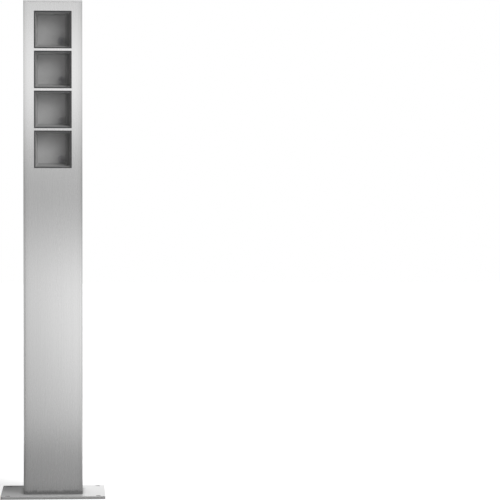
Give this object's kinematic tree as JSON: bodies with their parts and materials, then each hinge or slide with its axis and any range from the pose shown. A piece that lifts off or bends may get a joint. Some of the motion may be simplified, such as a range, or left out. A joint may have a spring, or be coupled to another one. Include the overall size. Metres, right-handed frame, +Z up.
{
  "type": "garden socket post",
  "caption": "Free-standing stainless steel garden socket post on a bolt-down base plate, with square device bays in its front and a lockable service door in its rear.",
  "frame": {"origin": "middle of the base plate's underside, on the ground", "axes": "+Z up along the column, front with the device bays towards -Y, +X to the right as seen from the front"},
  "size_m": [0.185, 0.185, 0.885],
  "materials": {
    "column_steel": "vertical satin brush",
    "plate_steel": "satin brush",
    "pocket_steel": "dull pickled sheet",
    "fastener_steel": "plain",
    "zinc_steel": "zinc plated",
    "seal_rubber": "matt",
    "grey_rubber": "matt",
    "lock_chrome": "satin",
    "block_grey": "matt",
    "block_blue": "matt",
    "block_earth": "matt"
  },
  "bodies": {
    "post": {"base_plate": "plate_steel", "cable_entry_ring": "seal_rubber", "front_channel": "column_steel", "rear_wall": "column_steel", "top_cap": "column_steel", "cap_seal": "grey_rubber", "cap_ring": "column_steel", "cap_screws": "fastener_steel", "cap_nuts": "fastener_steel", "box_studs": "fastener_steel", "box_washers": "fastener_steel", "box_nuts": "fastener_steel", "upper_panel": "column_steel", "upper_panel_seal": "seal_rubber", "upper_panel_screws": "fastener_steel", "upper_panel_nuts": "fastener_steel", "hinge_post_leaves": "fastener_steel", "hinge_pins": "fastener_steel", "hinge_post_rivets": "fastener_steel", "rail_bracket": "zinc_steel", "terminal_rail": "zinc_steel", "rail_screws": "zinc_steel", "rail_nuts": "zinc_steel", "phase_terminals": "block_grey", "neutral_terminal": "block_blue", "earth_terminal": "block_earth", "terminal_screws": "zinc_steel", "end_stops": "block_grey", "earth_stud": "fastener_steel", "earth_nuts": "fastener_steel", "earth_washers": "fastener_steel", "bay_box_1": "pocket_steel", "bay_gasket_1": "seal_rubber", "bay_grommet_1": "grey_rubber", "bay_box_2": "pocket_steel", "bay_gasket_2": "seal_rubber", "bay_grommet_2": "grey_rubber", "bay_box_3": "pocket_steel", "bay_gasket_3": "seal_rubber", "bay_grommet_3": "grey_rubber", "bay_box_4": "pocket_steel", "bay_gasket_4": "seal_rubber", "bay_grommet_4": "grey_rubber"},
    "door": {"service_door": "column_steel", "door_seal": "seal_rubber", "hinge_door_leaves": "fastener_steel", "hinge_door_rivets": "fastener_steel", "lock_housing": "lock_chrome", "lock_nut": "zinc_steel"},
    "cam": {"lock_spindle": "lock_chrome", "lock_cam": "zinc_steel", "cam_screw": "zinc_steel"}
  },
  "joints": [
    {"name": "service_door_hinge", "type": "hinge", "parent": "post", "child": "door", "pos_m": [-0.0402, 0.0561, 0.29], "axis": [0, 0, 1], "range_deg": [0, 150]},
    {"name": "cam_lock_turn", "type": "hinge", "parent": "door", "child": "cam", "pos_m": [0.027, 0.05, 0.29], "axis": [0, -1, 0], "range_deg": [0, 90]}
  ]
}
